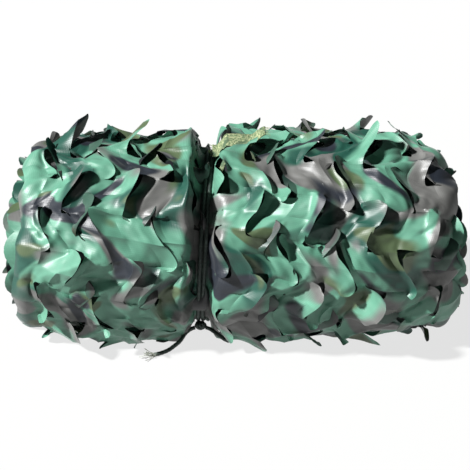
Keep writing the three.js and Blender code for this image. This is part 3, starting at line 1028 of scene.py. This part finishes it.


# %% [markdown]
# ## Printed leaf cloth
# The cloth is polyester oxford with a thin coating, roller-printed in mint green and four inks
# over it: dark green, grey-brown, olive and near-black navy, in blotches 4 to 8 cm across with
# soft edges. Each ink is a noise pattern cut at a level, read from the flat cloth's coordinates,
# so the print bends with the cloth. A real thread is about 0.35 mm, finer than a pixel, so the
# weave is drawn coarser to show. Light shines through the thin cloth a little, which makes its
# shaded side glow green.
# Copies for the turns under the outer one have the whole print darkened, as painted shade.

# %% Leaf cloth material
MINT = "#4B7A66"
INKS = {  # colour, size as a share of a blotch, place in the noise, and the levels of its soft edge
    "deep green": ("#0F3B30", 1.0, (3, 1, 0), 0.52, 0.61),
    "grey-brown": ("#555553", 0.9, (11, 7, 0), 0.535, 0.61),
    "olive": ("#3F4D34", 0.7, (23, 4, 0), 0.63, 0.7),
    "navy": ("#151A22", 0.8, (5, 31, 0), 0.62, 0.69),
}
BLOTCH = 75 * MM
THREAD = 1.9 * MM
SHINE_THROUGH = 0.1


# A depth below 1 darkens the whole print as painted shade.
def printed_cloth(name, depth=1.0):
    material, tree = new_material(name)
    flat = cloth_place(tree)

    def blotches(size, offset):
        spread = {"Vector": flat, "Location": offset, "Scale": (1 / size, 1 / size, 1)}
        place = node(tree, "ShaderNodeMapping", spread).outputs["Vector"]
        grain = {"Vector": place, "Scale": 1.0, "Detail": 1.5, "Roughness": 0.4, "Distortion": 0.35}
        return node(tree, "ShaderNodeTexNoise", grain, noise_dimensions="2D").outputs["Fac"]

    def threads(direction):
        spread = {"Vector": flat, "Scale": (1 / THREAD, 1 / THREAD, 1)}
        place = node(tree, "ShaderNodeMapping", spread).outputs["Vector"]
        wave = {"Vector": place, "Scale": 0.314, "Distortion": 0.6, "Detail": 1.0}
        return node(tree, "ShaderNodeTexWave", wave, bands_direction=direction).outputs["Fac"]

    colour = MINT
    for ink, size, offset, low, high in INKS.values():
        printed = step_up(tree, blotches(BLOTCH * size, offset), low, high)
        colour = blend_colours(tree, printed, colour, ink)
    weave = times(tree, threads("X"), threads("Y"))
    # worn is the cloth's random tone of 0.8 to 1.2, times depth, which below 1 is painted shade.
    worn = in_range(tree, blotches(12 * MM, (0, 0, 0)), 0.8 * depth, 1.2 * depth)
    colour = shaded(tree, colour, times(tree, worn, in_range(tree, weave, 0.93, 1.12)))
    bump = relief(tree, weave, 0.25, 0.3 * MM)
    bump = relief(tree, blotches(14 * MM, (2, 9, 0)), 0.2, 1.2 * MM, bump)
    coating = {"IOR": 1.5, "Normal": bump, "Sheen Weight": 0.1, "Sheen Roughness": 0.4}
    coated = principled(tree, colour, 0.46, coating)
    through = node(tree, "ShaderNodeBsdfTranslucent", {"Color": colour, "Normal": bump}).outputs[0]
    mix = {0: SHINE_THROUGH, 1: coated, 2: through}
    finish_material(tree, node(tree, "ShaderNodeMixShader", mix).outputs[0])
    return material


leaf_look = printed_cloth("printed polyester oxford")
# The second turn's print is darkened to about a quarter, as painted shade.
second_turn_painted_shade_look = printed_cloth("printed polyester oxford in the second turn, painted shade", depth=0.28)
# The packed turns' print is darkened to about a quarter, as painted shade.
shaded_look = printed_cloth("packed inner turns in painted shade", depth=0.25)
print("print blotches:", BLOTCH / MM, "mm")

# %% [markdown]
# ## Braided cord
# The tie is a dark green braided cord with a few pale, worn fibres. The braid's own ridges are in
# the mesh. Fine noise along the cord gives the fibres.

# %% Cord material


def braided_cord():
    material, tree = new_material("braided polypropylene cord")
    flat = cloth_place(tree)
    spread = {"Vector": flat, "Scale": (1800, 260, 1), "Rotation": (0, 0, 0.5)}
    fibres = mottle(tree, node(tree, "ShaderNodeMapping", spread).outputs[0], 1.0, 3.0)
    colour = blend_colours(tree, step_up(tree, fibres, 0.35, 0.75), "#141C1A", "#3A4A42")
    worn = times(tree, step_up(tree, mottle(tree, flat, 90.0), 0.6, 0.75), 0.5)
    colour = blend_colours(tree, worn, colour, "#8C958A")
    bump = relief(tree, fibres, 0.6, 0.4 * MM)
    finish_material(tree, principled(tree, colour, 0.65, {"Normal": bump}))
    return material


cord_look = braided_cord()

# %% [markdown]
# ## Woven tape
# The tape is a coarse, dry polyester webbing in pale yellow-green with darker flecks. Its threads
# are about 1 mm thick, which is just coarse enough to show.

# %% Tape material


def woven_tape():
    material, tree = new_material("coarse polyester webbing")
    flat = cloth_place(tree)
    flecks, patches = mottle(tree, flat, 420.0), mottle(tree, flat, 90.0)
    colour = blend_colours(tree, step_up(tree, flecks, 0.4, 0.65), "#5A6D48", "#9EA47C")
    colour = blend_colours(tree, step_up(tree, patches, 0.5, 0.68), colour, "#3F573D")
    grid = {"Vector": flat, "Scale": 520.0, "Mortar Size": 0.04}
    threads = node(tree, "ShaderNodeTexBrick", grid).outputs["Fac"]
    colour = blend_colours(tree, times(tree, threads, 0.5), colour, "#39442E")
    bump = relief(tree, threads, 0.7, -0.5 * MM)
    finish_material(tree, principled(tree, colour, 0.8, {"Normal": bump}))
    return material


tape_look = woven_tape()

# %% [markdown]
# ## The string netting
# Slit cloth is weak, so it lies on a net of thin twisted string and is knotted to it at the
# bridges. The strings cross the open slits as dark lines just under the cloth. Strings and knots
# repeat over the whole roll, which is work for Geometry Nodes: we give it bare lines with the
# knots marked, and the tree makes round strings of the lines and puts a small lump on every knot.

# %% Geometry Nodes helpers
STRING_FLOOR = 0.3 * MM


def new_geometry_tree(name, inputs):
    tree = bpy.data.node_groups.new(name, "GeometryNodeTree")
    tree.interface.new_socket("Geometry", in_out="OUTPUT", socket_type="NodeSocketGeometry")
    for label, kind in {"Geometry": "NodeSocketGeometry", **inputs}.items():
        tree.interface.new_socket(label, in_out="INPUT", socket_type=kind)
    return tree, node(tree, "NodeGroupInput").outputs


def finish_tree(tree, geometry, material):
    real = node(tree, "GeometryNodeRealizeInstances", {"Geometry": geometry}).outputs["Geometry"]
    dressed = {"Geometry": real, "Material": material}
    shown = node(tree, "GeometryNodeSetMaterial", dressed).outputs["Geometry"]
    node(tree, "NodeGroupOutput", {"Geometry": shown})


def grow(piece, tree, values):
    """Runs the tree on the piece's bare mesh, and keeps the result as a plain mesh above the floor."""
    modifier = piece.modifiers.new(tree.name, "NODES")
    modifier.node_group = tree
    for socket in tree.interface.items_tree:
        if socket.name in values:
            modifier[socket.identifier] = values[socket.name]
    mesh = applied(piece)
    points = points_of(mesh)
    points[:, 2] = np.maximum(points[:, 2], STRING_FLOOR)
    move_points(mesh, points)
    piece.data = mesh
    print(f"{piece.name}: {len(mesh.polygons)} faces")


def round_string(tree, curve, diameter, sides):
    """A round string along a curve."""
    ring = {"Resolution": sides, "Radius": times(tree, diameter, 0.5)}
    profile = node(tree, "GeometryNodeCurvePrimitiveCircle", ring).outputs["Curve"]
    parts = {"Curve": curve, "Profile Curve": profile, "Fill Caps": True}
    return node(tree, "GeometryNodeCurveToMesh", parts).outputs["Mesh"]


# %% Netting lines
NET_DEPTH = (4 * MM, 8 * MM)
NET_STEPS = 8


def bridge_row(column, row):
    return row * CELLS_ALONG + (CELLS_ALONG // 2 if column % 2 == 0 else 0)


def net_string(first, second):
    """Points between two knots, sagging under the cloth."""
    share = np.arange(1, NET_STEPS) / NET_STEPS
    start, end = round_roll(first)[0], round_roll(second)[0]
    angle = start + ((end - start + math.pi) % TURN - math.pi) * share
    depth = between(NET_DEPTH, np.sin(math.pi * share))
    return over_roll(between((first[0], second[0]), share), angle, BASE_HEIGHT - depth)


def net_lines(sheet, places):
    spots, edges, order = [], [], {}
    columns = range(sheet.first, sheet.first + sheet.across // CELLS_ACROSS - 1)
    for column in columns:
        for row in range(SLITS_AROUND):
            b = bridge_row(column, row)
            order[column, b % AROUND] = len(spots)
            place = places[sheet.point((column - sheet.first + 1) * CELLS_ACROSS, b)]
            spots.append(over_roll(place[0], round_roll(place)[0], BASE_HEIGHT - NET_DEPTH[0]))
    knots = len(spots)
    for (column, b), start in list(order.items()):
        for step in (-CELLS_ALONG // 2, CELLS_ALONG // 2):
            end = order.get((column + 1, (b + step) % AROUND))
            if end is None:
                continue
            line = [start, *range(len(spots), len(spots) + NET_STEPS - 1), end]
            spots += list(net_string(spots[start], spots[end]))
            edges += zip(line, line[1:])
    mesh = bpy.data.meshes.new("string_netting")
    mesh.from_pydata([tuple(p) for p in spots], [tuple(e) for e in edges], [])
    marks = mesh.attributes.new("knot", "BOOLEAN", "POINT")
    marks.data.foreach_set("value", [i < knots for i in range(len(spots))])
    return add_object("string_netting", mesh)


netting = net_lines(sheet, unsettled_places)
print("netting:", len(netting.data.edges), "edges")

# %% Strings and knots


def netting_tree():
    sockets = {
        "String diameter": "NodeSocketFloat", "Knot diameter": "NodeSocketFloat",
        "Material": "NodeSocketMaterial",
    }
    tree, given = new_geometry_tree("string netting", sockets)
    lines = node(tree, "GeometryNodeMeshToCurve", {"Mesh": given["Geometry"]}).outputs["Curve"]
    strings = round_string(tree, lines, given["String diameter"], 6)
    ball = {"Radius": times(tree, given["Knot diameter"], 0.5), "Subdivisions": 2}
    lump = node(tree, "GeometryNodeMeshIcoSphere", ball).outputs["Mesh"]
    marked = node(tree, "GeometryNodeInputNamedAttribute", {"Name": "knot"}, data_type="BOOLEAN")
    sizes = {2: 0.8, 3: 1.25, "Seed": 4}
    uneven = node(tree, "FunctionNodeRandomValue", sizes, data_type="FLOAT").outputs[1]
    lumps = node(
        tree, "GeometryNodeInstanceOnPoints",
        {
            "Points": given["Geometry"], "Selection": marked.outputs["Attribute"],
            "Instance": lump, "Scale": uneven,
        },
    ).outputs["Instances"]
    both = node(tree, "GeometryNodeJoinGeometry", {"Geometry": strings})
    tree.links.new(lumps, both.inputs["Geometry"])
    finish_tree(tree, both.outputs["Geometry"], given["Material"])
    return tree


def plain_string(name, colour):
    """Twisted thread: matt, with darker and lighter flecks a few millimetres long."""
    material, tree = new_material(name)
    place = node(tree, "ShaderNodeTexCoord").outputs["Object"]
    shade = in_range(tree, mottle(tree, place, 350.0), 0.5, 1.5)
    finish_material(tree, principled(tree, shaded(tree, colour, shade), 0.75))
    return material


string_look = plain_string("twisted dark green string", "#20352B")
grow(netting, netting_tree(), {"String diameter": 2 * MM, "Knot diameter": 4 * MM, "Material": string_look})

# %% [markdown]
# ## Loose threads
# The long end of the cord has frayed into pale fibres, and threads stick out of the tape's cut
# ends. Each lot is one bent thread, put on a few points many times with its own turn, tilt and
# length, and the points carry the direction in which their threads leave.

# %% Threads


def threads_tree():
    tree, given = new_geometry_tree(
        "loose threads",
        {
            "Length": "NodeSocketFloat", "Thickness": "NodeSocketFloat", "Spread": "NodeSocketFloat",
            "Seed": "NodeSocketInt", "Material": "NodeSocketMaterial",
        },
    )
    bent = node(
        tree, "GeometryNodeCurveQuadraticBezier",
        {"Resolution": 8, "Start": (0, 0, -0.1), "Middle": (0.02, 0, 0.5), "End": (0.25, 0.08, 0.95)},
    ).outputs["Curve"]
    relative = node(
        tree, "ShaderNodeMath", {0: given["Thickness"], 1: given["Length"]}, operation="DIVIDE"
    ).outputs[0]
    thread = round_string(tree, bent, relative, 5)
    way = node(tree, "GeometryNodeInputNamedAttribute", {"Name": "way"}, data_type="FLOAT_VECTOR")
    upright = {"Vector": way.outputs["Attribute"]}
    along = node(tree, "FunctionNodeAlignRotationToVector", upright, axis="Z").outputs["Rotation"]
    tilts = {0: (-1, -1, -TURN), 1: (1, 1, TURN), "Seed": given["Seed"]}
    tilt = node(tree, "FunctionNodeRandomValue", tilts, data_type="FLOAT_VECTOR").outputs[0]
    scaled = {0: tilt, "Scale": given["Spread"]}
    tilt = node(tree, "ShaderNodeVectorMath", scaled, operation="SCALE").outputs["Vector"]
    tilt = node(tree, "FunctionNodeEulerToRotation", {"Euler": tilt}).outputs["Rotation"]
    turned = node(
        tree, "FunctionNodeRotateRotation", {"Rotation": along, "Rotate By": tilt}, rotation_space="LOCAL"
    ).outputs["Rotation"]
    share = node(
        tree, "FunctionNodeRandomValue", {2: 0.5, 3: 1.1, "Seed": given["Seed"]}, data_type="FLOAT"
    ).outputs[1]
    size = times(tree, share, given["Length"])
    lot = node(
        tree, "GeometryNodeInstanceOnPoints",
        {"Points": given["Geometry"], "Instance": thread, "Rotation": turned, "Scale": size},
    ).outputs["Instances"]
    finish_tree(tree, lot, given["Material"])
    return tree


loose_threads = threads_tree()


def fray(name, roots, ways, length, thickness, spread, seed, material):
    mesh = bpy.data.meshes.new(name)
    mesh.from_pydata([tuple(p) for p in roots], [], [])
    way = mesh.attributes.new("way", "FLOAT_VECTOR", "POINT")
    way.data.foreach_set("vector", np.ravel(ways).astype(np.float32))
    piece = add_object(name, mesh)
    grow(piece, loose_threads, {
        "Length": length, "Thickness": thickness, "Spread": spread, "Seed": seed, "Material": material,
    })
    return piece


# %% Frayed cord and tape
FIBRES = 26
FIBRE_LENGTH = 17 * MM
FRINGE_LENGTH = 6 * MM


def cord_end_fray():
    end, before = free_path[-1], free_path[-3]
    way = (end - before) / np.linalg.norm(end - before)
    offsets = [(0, chance(i, 0, 21) - 0.5, chance(i, 0, 22) - 0.5) for i in range(FIBRES)]
    roots = [Vector(end) + Vector(offset) * 4 * MM for offset in offsets]
    ways = [way] * FIBRES
    return fray("tie_end_fibres", roots, ways, FIBRE_LENGTH, 0.6 * MM, 0.45, 5, fibre_look)


def tape_end_fray(name, place, width, seed):
    roots, ways = [], []
    for share, sign in ((0.01, -1), (0.99, 1)):
        middle, across, up = place(share)
        way = sign * np.cross(across, up)
        for off in np.linspace(-0.46, 0.46, max(4, round(width / TAPE_CELL))):
            roots.append(middle + across * off * width)
            ways.append(way)
    return fray(name, roots, ways, FRINGE_LENGTH, 0.5 * MM, 0.3, seed, tape_thread_look)


fibre_look = plain_string("worn pale cord fibres", "#8E9286")
tape_thread_look = plain_string("loose tape threads", "#767F55")
cord_fibres = cord_end_fray()
tape_fringe = tape_end_fray("tape_fringe", tape_place, TAPE_WIDTH, 8)
tail_fringe = tape_end_fray("tape_tail_fringe", tail_place, TAIL_WIDTH, 9)

# %% Put the finishes on
cord_pieces = (*strands, knot, free_end, short_end)
finishes = [
    (leaf_look, (outer_cloth, *wound_ends)), (second_turn_painted_shade_look, (inner_cloth,)), (shaded_look, (core,)),
    (cord_look, cord_pieces), (tape_look, (tape, tail)),
]
for look, pieces in finishes:
    for piece in pieces:
        piece.data.materials.append(look)
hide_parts("net_roll")
slots = {
    "leaf_cloth": (outer_cloth, inner_cloth, core, *wound_ends, netting),
    "tie_cord": (*cord_pieces, cord_fibres),
    "edge_tape": (tape, tail, tape_fringe, tail_fringe),
}
for slot, pieces in slots.items():
    for piece in pieces:
        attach(piece, "root")

# %% [markdown]
# ## What is loose and what is sheet
# The simulation needs to know the pieces that aren't rigid: each free cord with its true length,
# and each sheet of cloth with the size that it was cut to before it was wound on.

# %% Cords and sheets


# %% [markdown]
# ## Floor and light
# One fairly hard key light from the upper left throws the leaves' shadows to the right and models
# every fold. A pale surround fills the shadows a little. The floor glows like a light table, so
# that it stays white round the net.

# %% Floor and lights
FLOOR_REACH = 30
FLOOR_GLOW = 0.75
KEY_DIRECTION = Vector((-0.80, -0.32, 0.76))
KEY_STRENGTH = 12.5
KEY_SOFTNESS = math.radians(4)
SURROUND_STRENGTH = 0.06


def pale_floor():
    corners = [(FLOOR_REACH * x, FLOOR_REACH * y, 0) for x, y in ((-1, -1), (1, -1), (1, 1), (-1, 1))]
    floor = make_mesh("floor", corners, [(0, 1, 2, 3)], smooth=False)
    material, tree = new_material("matt white floor")
    glow = {"Emission Color": (1, 1, 1, 1), "Emission Strength": FLOOR_GLOW}
    finish_material(tree, principled(tree, "#4E4E4D", 0.9, glow))
    floor.data.materials.append(material)


def key_light():
    data = bpy.data.lights.new("key", "SUN")
    data.energy, data.angle = KEY_STRENGTH, KEY_SOFTNESS
    light = add_object("key", data)
    light.rotation_euler = KEY_DIRECTION.to_track_quat("Z", "Y").to_euler()


def surround():
    world = bpy.data.worlds.new("studio")
    world.use_nodes = True
    background = world.node_tree.nodes["Background"]
    background.inputs["Color"].default_value = linear("#DDF2EE")
    background.inputs["Strength"].default_value = SURROUND_STRENGTH
    scene.world = world


pale_floor()
key_light()
surround()
